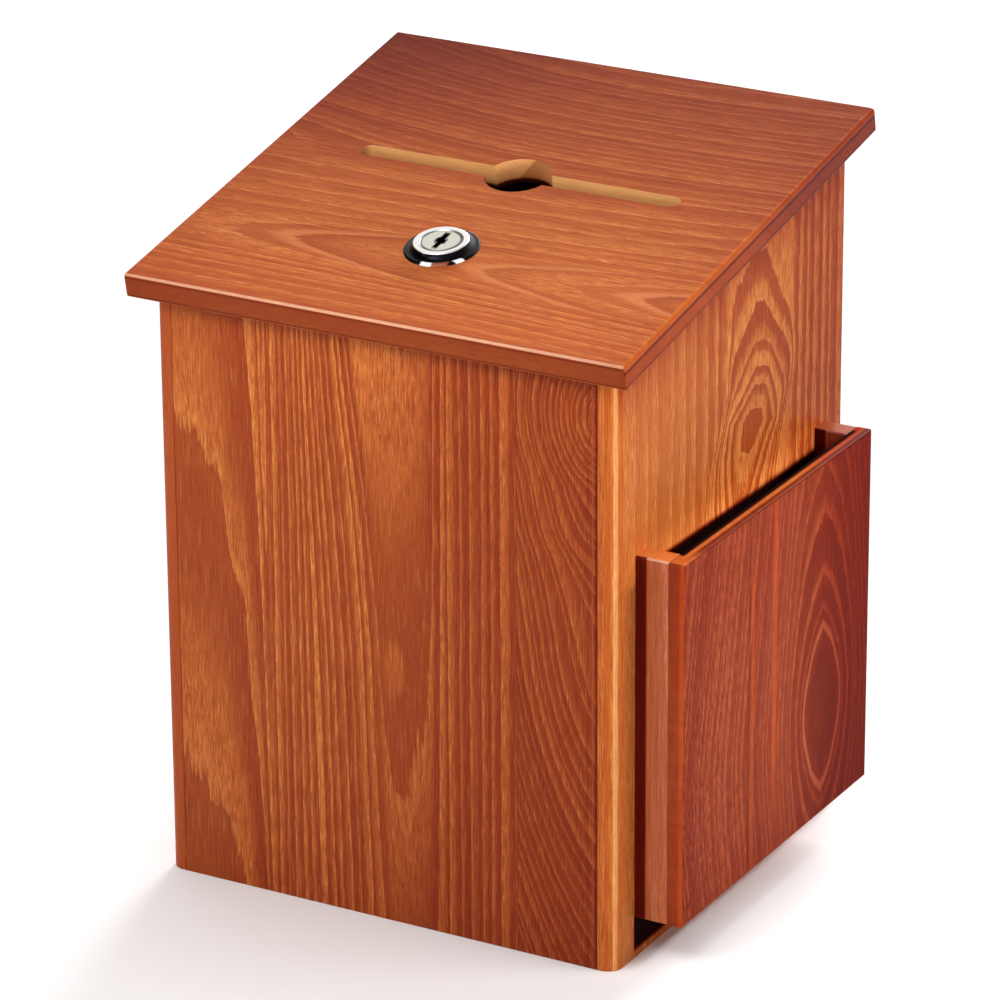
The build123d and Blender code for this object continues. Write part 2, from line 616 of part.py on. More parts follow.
with BuildPart() as plug:
    with BuildSketch(on_lock(head_h - 0.1)):
        Circle(plug_r)
    extrude(amount=-(head_h - 0.1 - barrel_end))
    chamfer(plug.faces().sort_by(lid_normal)[-1].edges(), 0.2)
    # square end that carries the stop washer and the cam
    with BuildSketch(on_lock(barrel_end)):
        Rectangle(8.0, 8.0)
    extrude(amount=-(barrel_end - cam_low - 0.2))
    # stepped keyway
    with BuildSketch(on_lock(head_h)):
        with BuildLine():
            Polyline((-0.2, -5.5), (1.2, -5.5), (1.2, -2.2), (2.0, -1.6), (2.0, 0.6), (0.9, 1.2), (0.9, 5.5),
                     (-1.1, 5.5), (-1.1, 2.4), (-2.0, 1.8), (-2.0, -0.8), (-0.8, -1.4), (-0.8, -5.5), close=True)
        make_face()
    extrude(amount=-(head_h + 14.0), mode=Mode.SUBTRACT)
    # slots for the wafers
    for h in wafer_h:
        with BuildSketch(on_lock(h + 0.5)):
            Rectangle(6.6, 2 * plug_r + 1)
        extrude(amount=-1.0, mode=Mode.SUBTRACT)
    # tapped hole for the cam's screw
    with BuildSketch(on_lock(cam_low)):
        Circle(1.7)
    extrude(amount=6.0, mode=Mode.SUBTRACT)
plug.part.label = "lock_plug"
export_step(plug.part, "parts/lock_plug.step")

with BuildPart() as wafers:
    for i, h in enumerate(wafer_h):
        with BuildSketch(on_lock(h + 0.45)):
            Rectangle(6.4, 13.8)
            with Locations((0, 0.5 * (i % 3 - 1))):
                Rectangle(4.2, 11.2, mode=Mode.SUBTRACT)
        extrude(amount=-0.9)
wafers.part.label = "lock_wafers"
export_step(wafers.part, "parts/lock_wafers.step")

with BuildPart() as stop:
    with BuildSketch(on_lock(stop_top)):
        Circle(bore_r - 0.1)
        ring_sector(bore_r - 0.5, barrel_r, 0, 180)
        Rectangle(8.04, 8.04, mode=Mode.SUBTRACT)
    extrude(amount=-(stop_top - stop_low))
stop.part.label = "stop_washer"
export_step(stop.part, "parts/stop_washer.step")

with BuildPart() as cam:
    with BuildSketch(on_lock(cam_top)) as cam_sk:
        with BuildLine():
            Polyline((-8.5, -8.0), (10.0, -8.0), (14.0, -6.5), (cam_reach, -6.5), (cam_reach, 6.5), (14.0, 6.5),
                     (10.0, 8.0), (-8.5, 8.0), close=True)
        make_face()
        fillet(cam_sk.vertices().group_by(Axis.X)[0], 4.0)
        fillet(cam_sk.vertices().group_by(Axis.X)[-1], 3.0)
        Rectangle(8.04, 8.04, mode=Mode.SUBTRACT)
    extrude(amount=-cam_t)
    chamfer(cam.faces().sort_by(lid_normal)[-1].outer_wire().edges(), 0.3)
cam.part.label = "lock_cam"
export_step(cam.part, "parts/lock_cam.step")

with BuildPart() as spring_washer:
    with BuildSketch(on_lock(cam_low)):
        Circle(5.9)
        Circle(2.1, mode=Mode.SUBTRACT)
        with Locations((4, 0)):
            Rectangle(4.4, 0.8, mode=Mode.SUBTRACT)
    extrude(amount=-spring_t)
spring_washer.part.label = "cam_lock_washer"
export_step(spring_washer.part, "parts/cam_lock_washer.step")

with BuildPart() as cam_screw:
    with BuildSketch(on_lock(cam_low - spring_t)):
        RegularPolygon(3.5, 6, major_radius=False)
    extrude(amount=-screw_head)
    chamfer(cam_screw.faces().sort_by(lid_normal)[0].edges(), 0.3)
    with BuildSketch(on_lock(cam_low - spring_t)):
        Circle(1.68)
    extrude(amount=spring_t + 5.5)
cam_screw.part.label = "cam_screw"
export_step(cam_screw.part, "parts/cam_screw.step")
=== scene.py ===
import math

import bpy
from mathutils import Matrix, Vector

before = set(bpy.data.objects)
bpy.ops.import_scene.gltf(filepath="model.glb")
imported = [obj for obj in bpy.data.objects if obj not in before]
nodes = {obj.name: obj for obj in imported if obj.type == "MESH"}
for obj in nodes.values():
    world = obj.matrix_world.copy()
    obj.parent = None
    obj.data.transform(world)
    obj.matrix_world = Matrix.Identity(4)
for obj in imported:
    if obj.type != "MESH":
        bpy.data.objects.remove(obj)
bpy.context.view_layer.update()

# ---------------------------------------------------------------- sizes that the looks refer to, in mm
HALF_W, HALF_D = 98.5, 95.5          # half the box's footprint
FRONT_H = 238.3                      # wall height at the front
SLOPE = math.radians(10.85)
C, S = math.cos(SLOPE), math.sin(SLOPE)
LID_T = 10.0
SLOT_V, LOCK_V = 109.0, 49.3         # places on the lid, from the front wall's face
POCKET_X = 118.75


# ---------------------------------------------------------------- small helpers for node graphs
class V:
    """One socket of a shader graph, with arithmetic."""

    def __init__(self, g, socket):
        self.g, self.s = g, socket

    def __add__(self, o): return self.g.math("ADD", self, o)
    def __radd__(self, o): return self.g.math("ADD", o, self)
    def __sub__(self, o): return self.g.math("SUBTRACT", self, o)
    def __rsub__(self, o): return self.g.math("SUBTRACT", o, self)
    def __mul__(self, o): return self.g.math("MULTIPLY", self, o)
    def __rmul__(self, o): return self.g.math("MULTIPLY", o, self)
    def __truediv__(self, o): return self.g.math("DIVIDE", self, o)
    def __rtruediv__(self, o): return self.g.math("DIVIDE", o, self)
    def __neg__(self): return self.g.math("MULTIPLY", self, -1.0)
    def __pow__(self, o): return self.g.math("POWER", self, o)


class Graph:
    def __init__(self, name):
        self.mat = bpy.data.materials.new(name)
        self.mat.use_nodes = True
        self.t = self.mat.node_tree
        self.t.nodes.clear()
        self.out = self.t.nodes.new("ShaderNodeOutputMaterial")
        self.bsdf = self.t.nodes.new("ShaderNodeBsdfPrincipled")
        self.t.links.new(self.bsdf.outputs[0], self.out.inputs[0])
        self.tc = self.t.nodes.new("ShaderNodeTexCoord")
        self.geo = None

    def put(self, inp, val):
        if isinstance(val, V):
            self.t.links.new(val.s, inp)
        else:
            inp.default_value = val

    def math(self, op, a, b=None, c=None, clamp=False):
        n = self.t.nodes.new("ShaderNodeMath")
        n.operation, n.use_clamp = op, clamp
        self.put(n.inputs[0], a)
        if b is not None:
            self.put(n.inputs[1], b)
        if c is not None:
            self.put(n.inputs[2], c)
        return V(self, n.outputs[0])

    def abs(self, a): return self.math("ABSOLUTE", a)
    def floor(self, a): return self.math("FLOOR", a)
    def fract(self, a): return self.math("FRACT", a)
    def sqrt(self, a): return self.math("SQRT", a)
    def max(self, a, b): return self.math("MAXIMUM", a, b)
    def min(self, a, b): return self.math("MINIMUM", a, b)
    def clamp(self, a): return self.math("ADD", a, 0.0, clamp=True)

    def step(self, a, lo, hi, out0=0.0, out1=1.0):
        """A smooth step from out0 at lo to out1 at hi; lo may be above hi."""
        n = self.t.nodes.new("ShaderNodeMapRange")
        n.interpolation_type = "SMOOTHSTEP"
        if not isinstance(lo, V) and not isinstance(hi, V) and lo > hi:
            lo, hi, out0, out1 = hi, lo, out1, out0
        self.put(n.inputs["Value"], a)
        self.put(n.inputs["From Min"], lo)
        self.put(n.inputs["From Max"], hi)
        self.put(n.inputs["To Min"], out0)
        self.put(n.inputs["To Max"], out1)
        return V(self, n.outputs["Result"])

    def vec(self, x, y, z=0.0):
        n = self.t.nodes.new("ShaderNodeCombineXYZ")
        for i, v in zip(n.inputs, (x, y, z)):
            self.put(i, v)
        return V(self, n.outputs[0])

    def split(self, v):
        n = self.t.nodes.new("ShaderNodeSeparateXYZ")
        self.put(n.inputs[0], v)
        return [V(self, o) for o in n.outputs]

    def place(self):
        """The point's place in the model's own frame, in mm."""
        n = self.t.nodes.new("ShaderNodeVectorMath")
        n.operation = "SCALE"
        self.t.links.new(self.tc.outputs["Object"], n.inputs[0])
        n.inputs["Scale"].default_value = 1000.0
        return self.split(V(self, n.outputs[0]))

    def facing(self):
        """The surface's direction in the model's own frame."""
        return self.split(V(self, self.tc.outputs["Normal"]))

    def noise(self, vec, scale=1.0, detail=2.0, rough=0.5, dist=0.0, color=False):
        n = self.t.nodes.new("ShaderNodeTexNoise")
        self.put(n.inputs["Vector"], vec)
        n.inputs["Scale"].default_value = scale
        n.inputs["Detail"].default_value = detail
        n.inputs["Roughness"].default_value = rough
        n.inputs["Distortion"].default_value = dist
        return V(self, n.outputs["Color" if color else "Fac"])

    def noise1(self, w, scale=1.0, detail=1.0):
        n = self.t.nodes.new("ShaderNodeTexNoise")
        n.noise_dimensions = "1D"
        self.put(n.inputs["W"], w)
        n.inputs["Scale"].default_value = scale
        n.inputs["Detail"].default_value = detail
        return V(self, n.outputs["Fac"])

    def random(self, w):
        n = self.t.nodes.new("ShaderNodeTexWhiteNoise")
        n.noise_dimensions = "1D"
        self.put(n.inputs["W"], w)
        return V(self, n.outputs["Value"])

    def curve(self, x, pts, sharp=()):
        """A smooth curve through pts, in their own units; the points in sharp have a corner."""
        xs = [p[0] for p in pts]
        ys = [p[1] for p in pts]
        x0, x1, y0, y1 = min(xs), max(xs), min(ys), max(ys)
        n = self.t.nodes.new("ShaderNodeFloatCurve")
        cv = n.mapping.curves[0]
        while len(cv.points) < len(pts):
            cv.points.new(0.5, 0.5)
        for i, (px, py) in enumerate(pts):
            cv.points[i].location = ((px - x0) / (x1 - x0), (py - y0) / (y1 - y0))
            cv.points[i].handle_type = "VECTOR" if i in sharp else "AUTO_CLAMPED"
        n.mapping.update()
        self.put(n.inputs["Value"], (x - x0) / (x1 - x0))
        return V(self, n.outputs[0]) * (y1 - y0) + y0

    def mix(self, f, a, b, mode="MIX"):
        n = self.t.nodes.new("ShaderNodeMix")
        n.data_type = "RGBA"
        n.blend_type = mode
        n.clamp_factor = True
        self.put(n.inputs[0], f)
        for i, v in ((6, a), (7, b)):
            self.put(n.inputs[i], v if isinstance(v, V) else rgb(v))
        return V(self, n.outputs[2])

    def bump(self, height, distance, strength=1.0, normal=None):
        n = self.t.nodes.new("ShaderNodeBump")
        n.inputs["Strength"].default_value = strength
        n.inputs["Distance"].default_value = distance
        self.put(n.inputs["Height"], height)
        if normal is not None:
            self.t.links.new(normal.s, n.inputs["Normal"])
        return V(self, n.outputs[0])

    def set(self, **kw):
        names = {"color": "Base Color", "rough": "Roughness", "metal": "Metallic", "normal": "Normal", "coat": "Coat Weight",
                 "coat_rough": "Coat Roughness", "spec": "Specular IOR Level", "ior": "IOR", "aniso": "Anisotropic"}
        for k, v in kw.items():
            if k == "color" and not isinstance(v, V):
                v = rgb(v)
            self.put(self.bsdf.inputs[names[k]], v)


def lin(c):
    c = c / 255.0
    return c / 12.92 if c <= 0.04045 else ((c + 0.055) / 1.055) ** 2.4


def rgb(c):
    """An sRGB colour of 0 to 255 as linear light."""
    return (lin(c[0]), lin(c[1]), lin(c[2]), 1.0)


# ---------------------------------------------------------------- wood
def stained(g, u, v, w, h, look):
    """Ring-porous stained board. u is across the grain, v along it and w into the board, in mm; h counts the growth rings."""
    seed = look.get("seed", 0.0)
    early = look["early"]; late = look["late"]; dash = look["dash"]; pore = look["pore"]
    soft = g.noise(g.vec(u / 34.0 + seed, v / 120.0, w / 34.0), 1.0, 2.0, 0.5)
    mid = g.noise(g.vec(u / 6.0 + seed, v / 48.0, w / 6.0), 1.0, 2.0, 0.55)
    rag = g.noise(g.vec(u / 1.5 + seed, v / 16.0, w / 1.5), 1.0, 2.0, 0.6)
    fine = g.noise(g.vec(u / look.get("fine_u", 0.62), v / look.get("fine_v", 6.5) + seed, w / 0.62), 1.0, 2.0, 0.6)
    hair = g.noise(g.vec(u / 0.30, v / 3.6 + seed, w / 0.30), 1.0, 1.0, 0.5)
    h = h + (soft - 0.5) * look.get("wave", 0.5) + (mid - 0.5) * look.get("wobble", 0.35) + (rag - 0.5) * look.get("ragged", 0.10)
    h = h + (fine - 0.5) * 0.07 + (g.noise1(h, 0.6, 1.0) - 0.5) * look.get("uneven", 1.3) * g.step(g.abs(h - 0.8), 1.4, 3.0)
    ring = g.floor(h)
    t = g.fract(h)
    r1 = g.random(ring + (3.7 + seed))
    r2 = g.random(ring + (91.3 + seed))
    # earlywood: starts sharply at each ring, and its pores thin out into the smooth latewood
    wide = look.get("early_part", 0.40) + (r1 - 0.5) * 0.4
    body = g.step(t + (fine - 0.5) * 0.9 + (rag - 0.5) * 0.3, wide - 0.26, wide + 0.26, 1.0, 0.0)
    # the pores come in broken rows, so the light lines are broken too
    rows = g.noise(g.vec(u / 1.1, v / 8.0 + seed * 1.7, w / 1.1), 1.0, 2.0, 0.6)
    e = body * g.step(t, 0.0, 0.06) * g.step(rows, 0.36, 0.58, 1.0 - look.get("broken", 0.5), 1.1)
    lines = g.noise1(h, 5.0, 2.0)
    e2 = e * look.get("contrast", 0.9) + (lines - 0.5) * look.get("lines", 0.7) * (0.25 + e)
    if "vary" in look:
        # wide rings show less contrast than narrow ones
        e2 = look.get("middle", 0.42) + (e2 - look.get("middle", 0.42)) * look["vary"](g, u, v)
    e2 = g.clamp(e2)
    col = g.mix(e2, late, early)
    col = g.mix(g.step(fine, 0.53, 0.66) * (e * 0.85 + 0.08) * look.get("dashes", 0.75), col, dash)
    col = g.mix(g.step(t, 0.16, 0.0) * g.step(t, 0.0, 0.02) * g.step(rag, 0.38, 0.60) * look.get("rim", 0.55), col, dash)
    pores = g.step(fine, 0.46, 0.34) * (0.16 + 0.7 * e)
    col = g.mix(pores * look.get("pores", 0.6), col, pore)
    col = g.mix((hair - 0.3) * 0.7, col, g.mix(1.0, col, (214, 208, 204), "MULTIPLY"))
    # long thin scratches of darker and lighter stain
    long = g.noise(g.vec(u / 0.46, v / 17.0 + seed, w / 0.46), 1.0, 2.0, 0.6)
    col = g.mix(g.step(long, 0.48, 0.32) * look.get("streaks", 0.6), col, g.mix(1.0, col, (206, 184, 172), "MULTIPLY"))
    col = g.mix(g.step(long, 0.55, 0.70) * look.get("streaks", 0.6) * 0.5, col, dash)
    speck = g.noise(g.vec(u / 0.55, v / 0.9, w / 0.55), 1.0, 1.0, 0.5)
    tone = 1.0 + (r2 - 0.5) * look.get("ring_tone", 0.12) + (soft - 0.5) * look.get("blotch", 0.2) + (speck - 0.5) * 0.16
    return col, e, pores, tone, fine, hair, t


def board(name, across, along, deep, field, look, extra=None, coat=0.0):
    """A stained board's material. across, along and deep make u, v and w from the place of a point; field makes the rings."""
    g = Graph(name)
    x, y, z = g.place()
    u, v, w = across(x, y, z), along(x, y, z), deep(x, y, z)
    h = field(g, u, v) + w * look.get("depth", 0.16)
    col, e, pores, tone, fine, hair, t = stained(g, u, v, w, h, look)
    if "face" in look:
        col = look["face"](g, col, x, y, z, u, v, w, fine, hair)
    if "shade" in look:
        tone = tone * look["shade"](g, x, y, z, u, v, w)
    # a deeper stain, and the painted shade that some shade curves carry, are redder as well as darker
    tone = g.max(tone, 0.02)
    col = g.mix(1.0, col, g.vec(tone, tone ** 2.0, tone ** 2.1), "MULTIPLY")
    if "red" in look:
        # takes out green and blue only: a richer stain, and on the pocket it grows toward the back with the painted
        # shade there
        k = look["red"](g, x, y, z)
        col = g.mix(1.0, col, g.vec(1.0, k, k ** 1.8), "MULTIPLY")
    rough = 0.36 + (1.0 - e) * -0.05 + pores * 0.25 + (hair - 0.5) * 0.10
    height = (pores * -1.0) + e * -0.35 + (fine - 0.5) * 0.3
    if extra:
        col, rough, height = extra(g, col, rough, height, x, y, z, u, v, w, fine)
    nrm = g.bump(height, 0.00006, 0.6)
    g.set(color=col, rough=rough, normal=nrm, coat=coat, coat_rough=0.22, spec=look.get("spec", 0.15))
    return g.mat


def lid_axes():
    """u, v and w of the lid: u up the slope from the front wall's face, w up from its underside."""
    vv = lambda x, y, z: (y + HALF_D) * C + (z - FRONT_H) * S
    ww = lambda x, y, z: (z - FRONT_H) * C - (y + HALF_D) * S
    return vv, ww


RAW_LIGHT, RAW_DARK = (238, 184, 120), (208, 146, 86)


def raw(g, u, v, w, seed=0.0):
    """Bare sawn wood."""
    a = g.noise(g.vec(u / 1.6 + seed, v / 16.0, w / 1.6), 1.0, 3.0, 0.6)
    b = g.noise(g.vec(u / 0.3 + seed, v / 3.0, w / 0.3), 1.0, 2.0, 0.6)
    return g.mix(a * 0.9 + b * 0.35 - 0.15, RAW_DARK, RAW_LIGHT)


# ring fields -----------------------------------------------------
FRONT_JOINT = 57.0                   # the front panel is glued up from two boards, with a joint here


def front_rings(g, x, z):
    # the wide board: two flames at the left, straight lines, and one long V in the middle
    zc = g.curve(z, [(0, -36.0), (60, -20.0), (120, 0.0), (240, 120.0)])
    xs = x + g.curve(x, [(-100, 0.0), (-47.5, 0.0), (-30, 0.05), (-10, 0.094), (-2.5, 0.094), (3, 0.05), (10, 0.0), (100, 0.0)]) * zc
    f = g.curve(xs, [(-100, -0.35), (-88, -0.348), (-81.5, -0.31), (-72, -0.21), (-68, -0.12), (-64.5, -0.03), (-61.6, 0.14), (-59.2, 0.39),
                     (-55, 0.72), (-53.1, 1.12), (-51.9, 1.75), (-47.5, 3.0), (-30, 8.2), (-12, 3.5), (-8, 2.69), (-4.5, 2.05), (-2.5, 1.66),
                     (-1.7, 1.451), (1.1, 1.359), (4, 1.325), (8, 1.325), (12, 1.37), (15, 1.44), (17.5, 1.50), (20.3, 1.66), (22, 1.98),
                     (26, 2.69), (30, 3.5), (57, 9.4), (70, 12.2)], sharp=(12,))
    t = g.curve(xs, [(-100, 0.0070), (-81.5, 0.0070), (-72, 0.0071), (-64.5, 0.0082), (-59.2, 0.0069), (-53, 0.008), (-50, 0.003),
                     (-47.5, 0.0), (-12, 0.0), (-8, -0.002), (-4.5, -0.0045), (-2.5, -0.0055), (20.3, -0.0055), (22, -0.0045), (26, -0.002),
                     (30, 0.0), (70, 0.0)])
    oval = g.step(g.sqrt(((x - 4.0) / 7.0) ** 2.0 + ((z - 104.0) / 17.0) ** 2.0), 1.0, 0.5)
    wide = f + z * t - oval * 0.40
    # the narrow board: long half loops round a point near its upper right corner
    drop = g.curve(g.abs(z - 222.0), [(0, 0.0), (10, 8.0), (20, 15.0), (29, 20.5), (46.8, 25.5), (63.4, 31.0), (118.4, 37.0), (222, 60.0)])
    narrow = 60.0 - g.sqrt((g.curve(z, [(0, 110.0), (60, 104.0), (120, 98.0), (180, 95.0), (240, 95.0)]) - x) ** 2.0 + drop ** 2.0) * 0.46
    s = g.step(x, FRONT_JOINT - 0.05, FRONT_JOINT + 0.05)
    return wide + (narrow - wide) * s


def side_rings(g, y, z):
    # nested arches over an eye at the middle, straight lines on both sides
    h0 = g.curve(y, [(-100, 9.2), (-75, 7.0), (-62, 5.6), (-42, 3.8), (-32, 2.5), (-18.6, 1.2), (-8, 0.1), (0, 0.0), (44, 0.0), (50, 0.4), (57, 1.3),
                     (64, 2.4), (71, 3.5), (79.6, 4.8), (89.3, 6.2), (100, 7.6)])
    axis = g.curve(z, [(0, 2.0), (150, 4.0), (165, 6.0), (176, 9.5), (184, 14.0), (191, 18.0), (198, 20.5), (206, 22.0), (300, 22.0)])
    tilt = g.curve(z, [(0, 0.25), (190, 0.25), (205, 0.28), (225, 0.40), (250, 0.60), (300, 0.60)])
    hw = g.abs(y - axis)
    drop = g.curve(hw, [(0, 0.0), (5, 0.3), (8.4, 3.6), (12.3, 7.8), (16.3, 12.3), (20, 16.6), (23, 21.5), (25.5, 29.0), (28, 45.0), (31, 80.0),
                        (35, 140.0), (40, 260.0), (130, 320.0)])
    # the outer arches are pointed, the inner ones are not, and the innermost close to an eye
    drop = drop + g.curve(hw, [(0, 0.0), (8, 2.6), (20, 3.4), (130, 3.5)]) * g.step(z, 210.0, 224.0)
    dz = z + (y - 22.0) * tilt - 183.0
    zs = g.max(dz, dz * -0.42) + 183.0 + drop
    q = g.curve(zs, [(180, 5.9), (183.4, 5.8), (185.2, 5.45), (188, 5.0), (198.2, 4.0), (205.6, 3.0), (216.2, 2.0), (231.4, 1.0), (251.4, 0.0), (275, -0.3), (720, -0.4)])
    return h0 - q


def pocket_eye(g, y, z):
    # a long eye with pointed arches over it, and fine straight lines toward the front
    az = g.sqrt((z - 63.0) ** 2.0 + 256.0) - 16.0
    return az + g.curve(g.abs(y - 36.3), [(0, 0.0), (5, 4.5), (8.5, 8.5), (12, 15.0), (15, 20.0), (17.5, 27.0), (22, 42.0), (26, 60.0), (30, 86.0), (40, 150.0), (120, 600.0)])


def pocket_rings(g, y, z):
    return g.curve(pocket_eye(g, y, z), [(0, 0.45), (12, 0.62), (20.3, 1.0), (27.7, 2.0), (41.7, 3.0), (64.6, 4.0), (86, 5.0), (150, 7.6), (740, 31.0)])


def lid_tongues(g, v, x):
    # three tongues one inside the other, all pointing left; each is an edge where this value is -58, 22.5 and 90
    arm = g.curve(g.abs(v - 39.5), [(0, 0.0), (3, 5.0), (5, 10.0), (7, 18.0), (9, 27.0), (11, 36.0), (13, 46.0), (16, 70.0), (20, 110.0), (25, 150.0),
                                    (32, 200.0), (190, 220.0)])
    return x - arm


def lid_rings(g, v, x):
    # the tongues, with lines along the grain before and behind them
    nest = g.curve(lid_tongues(g, v, x), [(-340, 1.45), (-160, 1.05), (-110, 0.6), (-58, 0.0), (22.5, -1.0), (90, -2.0), (130, -2.7)])
    f = g.curve(v, [(-20, 7.8), (-7, 5.4), (8, 3.0), (18, 1.4), (26, 0.3), (33, 0.0), (46, 0.0), (55, 0.2), (62, 0.8), (72, 2.0), (90, 3.8),
                    (105, 5.4), (120, 7.8), (150, 14.8), (180, 20.8), (220, 26.8)])
    left = g.curve(v, [(-20, 0.0), (85, 0.0), (115, 3.0), (150, 4.0), (220, 4.0)])
    bow = g.curve(x, [(-110, 1.0), (-60, 0.42), (-10, 0.08), (40, 0.0), (110, 0.05)])
    return nest + f - left * bow + 1.0


def plain_rings(centre, spacing=4.6, flat=18.0, rise=0.006, lean=0.0):
    """A board with one gentle cathedral at centre."""
    def field(g, u, v):
        d = g.sqrt((u + v * lean - centre) ** 2.0 + flat * flat) - flat
        return d / spacing + v * rise
    return field


# the boards' looks --------------------------------------------------
def lid_shade(g, x, y, z, u, v, w):
    # painted shade: the lid darkens toward the back and both ends, most at the back left, as the light falls off
    corner = g.step(u, 100.0, 205.0) * g.step(x, 10.0, -95.0)
    return g.curve(u, [(-10, 0.93), (40, 0.96), (90, 0.94), (125, 0.80), (210, 0.67)]) * g.curve(x, [(-110, 0.87), (-40, 0.99), (50, 1.0), (110, 0.89)]) * (1.0 - corner * 0.35)


def lid_face(g, col, x, y, z, u, v, w, fine, hair):
    nx, ny, nz = g.facing()
    flat = ny * -S + nz * C
    # dark stain inside each tongue's edge, and a light line outside it
    s = lid_tongues(g, u + (hair - 0.5) * 1.2, x + (fine - 0.5) * 8.0)
    reach = g.step(g.abs(u - 39.5), 20.0, 11.0) * g.step(flat, 0.9, 0.97)
    for edge, much in ((-58.0, 1.0), (22.5, 0.8), (90.0, 1.0)):
        d = s - edge
        col = g.mix(reach * g.step(d, -1.0, 1.5) * g.step(d, 16.0, 3.0) * (0.5 * much), col, (158, 72, 34))
        col = g.mix(reach * g.step(d, 0.5, -2.0) * g.step(d, -17.0, -5.0) * (0.15 + fine * 0.6) * much, col, (230, 152, 96))
    # the sawn front edge takes more stain than the faces do, and the end grain shows pores, not lines
    front = g.step(ny, -0.55, -0.9) * g.step(g.abs(flat), 0.45, 0.2)
    col = g.mix(front * 0.88, col, g.mix(fine, (124, 54, 26), (152, 70, 34)))
    side = g.step(g.abs(nx), 0.5, 0.85) * g.step(g.abs(flat), 0.7, 0.4)
    speck = g.noise(g.vec(x / 0.8, u / 0.8, w / 0.8), 1.0, 2.0, 0.6)
    # painted highlight: the end grain's top band, under the rounded arris, is lighter
    ends = g.mix(g.step(w, 7.0, 7.6), g.mix(speck * 0.8 + fine * 0.3, (150, 62, 22), (188, 88, 36)), g.mix(speck, (190, 92, 36), (214, 112, 50)))
    col = g.mix(side * 0.92, col, ends)
    # painted reflections: darker lines just below the rounded top arrises; and painted shade along the bottom arris
    col = g.mix(side * g.step(g.abs(w - 6.7), 1.0, 0.4) * 0.8, col, (108, 26, 10))
    col = g.mix(front * g.step(g.abs(w - 8.4), 0.7, 0.3) * 0.5, col, (104, 34, 16))
    col = g.mix(g.max(front, side) * g.step(w, 1.9, 0.9) * 0.6, col, (92, 30, 14))
    # painted highlight on the rounded top arris: whitish along the front, orange along the ends
    arris = g.step(flat, 0.25, 0.5) * g.step(flat, 0.97, 0.86)
    front_arris_highlight = arris * g.step(ny, -0.2, -0.45) * (0.62 + fine * 0.4)
    col = g.mix(front_arris_highlight * 0.8, col, (248, 206, 176))
    col = g.mix(arris * g.step(nx, 0.2, 0.5) * 0.5, col, (226, 132, 62))
    # the end grain is darker and redder, most of all toward the back
    m = g.step(nx, 0.3, 0.8)
    kr = 1.0 - m * g.curve(y, [(-104, 0.28), (-60, 0.30), (0, 0.39), (57, 0.52), (103, 0.42)])
    kg = 1.0 - m * g.curve(y, [(-104, 0.35), (-60, 0.37), (0, 0.47), (57, 0.66), (103, 0.58)])
    kb = 1.0 - m * g.curve(y, [(-104, 0.68), (-60, 0.70), (0, 0.73), (57, 0.85), (103, 0.88)])
    return g.mix(1.0, col, g.vec(kr, kg * 0.96, kb * 0.9), "MULTIPLY")


def front_shade(g, x, y, z, u, v, w):
    # partly painted shade, darker toward the right and the bottom as the light falls off, partly the narrow board's
    # darker stain; the drop at the top is a painted shadow under the lid
    a = g.curve(x, [(-92, 0.96), (-40, 0.97), (10, 0.90), (30, 0.83), (54, 0.80), (60, 0.75), (84, 0.74), (88, 0.69), (91, 0.64)])
    return a * g.curve(z, [(0, 0.88), (70, 0.96), (150, 1.0), (225, 1.02), (232, 0.98), (240, 0.55)])


def front_vary(g, x, z):
    left = g.step(x, -60.0, -68.0)
    middle = g.step(x, -9.0, -3.0) * g.step(x, 22.0, 18.0)
    narrow = g.step(x, FRONT_JOINT - 1.0, FRONT_JOINT + 1.0)
    return 1.0 - left * 0.30 - middle * 0.38 - narrow * 0.22


def lid_vary(g, v, x):
    return 1.0 - g.step(v, 16.0, 28.0) * g.step(v, 84.0, 66.0) * 0.42


def pocket_vary(g, y, z):
    return g.curve(y, [(-85, 1.1), (-40, 1.0), (-10, 0.8), (15, 0.9), (22, 1.6), (52, 1.6), (60, 0.9), (85, 0.8)])


def side_vary(g, y, z):
    return g.curve(y, [(-100, 0.28), (-50, 0.32), (-25, 0.65), (-5, 1.5), (50, 1.9), (100, 1.6)])


def front_face(g, col, x, y, z, u, v, w, fine, hair):
    line = g.step(g.abs(x - FRONT_JOINT), 0.5, 0.1) * 0.5 + g.step(g.abs(x - 86.8), 0.45, 0.1) * 0.35 + g.step(g.abs(x - 90.4), 0.7, 0.2) * 0.7
    col = g.mix(line, col, (104, 34, 16))
    return g.mix(g.step(g.abs(x - 88.9), 0.5, 0.2) * (0.3 + fine * 0.6), col, (206, 104, 52))


def side_shade(g, x, y, z, u, v, w):
    nx, ny, nz = g.facing()
    # painted shade: the panel darkens toward the back as the light falls off
    a = g.curve(y, [(-96, 1.05), (-40, 1.04), (0, 0.98), (20, 0.93), (70, 0.82), (96, 0.77)])
    ends = 1.0 - g.step(ny, -0.6, -0.95) * 0.15
    # painted shadow: the panel turns near black inside the pocket's gap
    behind = g.step(z - g.curve(y, [(-75, 157.4), (-38, 156.8), (10, 155.8), (57, 155.0), (75, 154.8)]), 1.4, -1.4) * g.step(y, -75.0, -72.0) * g.step(y, 73.0, 70.0) * g.step(z, 20.0, 24.0) * g.step(x, 97.0, 98.0)
    # the pocket's shadow under it
    under = g.step(z, 18.0, 17.0) * g.step(z, 2.2, 4.6) * g.step(y, -81.0, -80.0) * g.step(x, 97.0, 98.0)
    under = under * g.curve(y, [(-100, 1.0), (-54, 1.0), (-30, 0.5), (0, 0.32), (50, 0.26), (66, 0.2), (77, 0.0), (100, 0.0)])
    # painted shadow close under the lid's overhang, as a deeper, redder tone
    gap = (y + HALF_D) * (S / C) + FRONT_H - z
    under_lid_shadow = g.curve(gap, [(0, 0.36), (6, 0.36), (8, 0.28), (10, 0.22), (13, 0.15), (20, 0.06), (30, 0.0), (290, 0.0)]) * g.step(x, 97.0, 98.0)
    return a * ends * (1.0 - under_lid_shadow) * (1.0 - behind * 0.96) * (1.0 - under * 0.985)


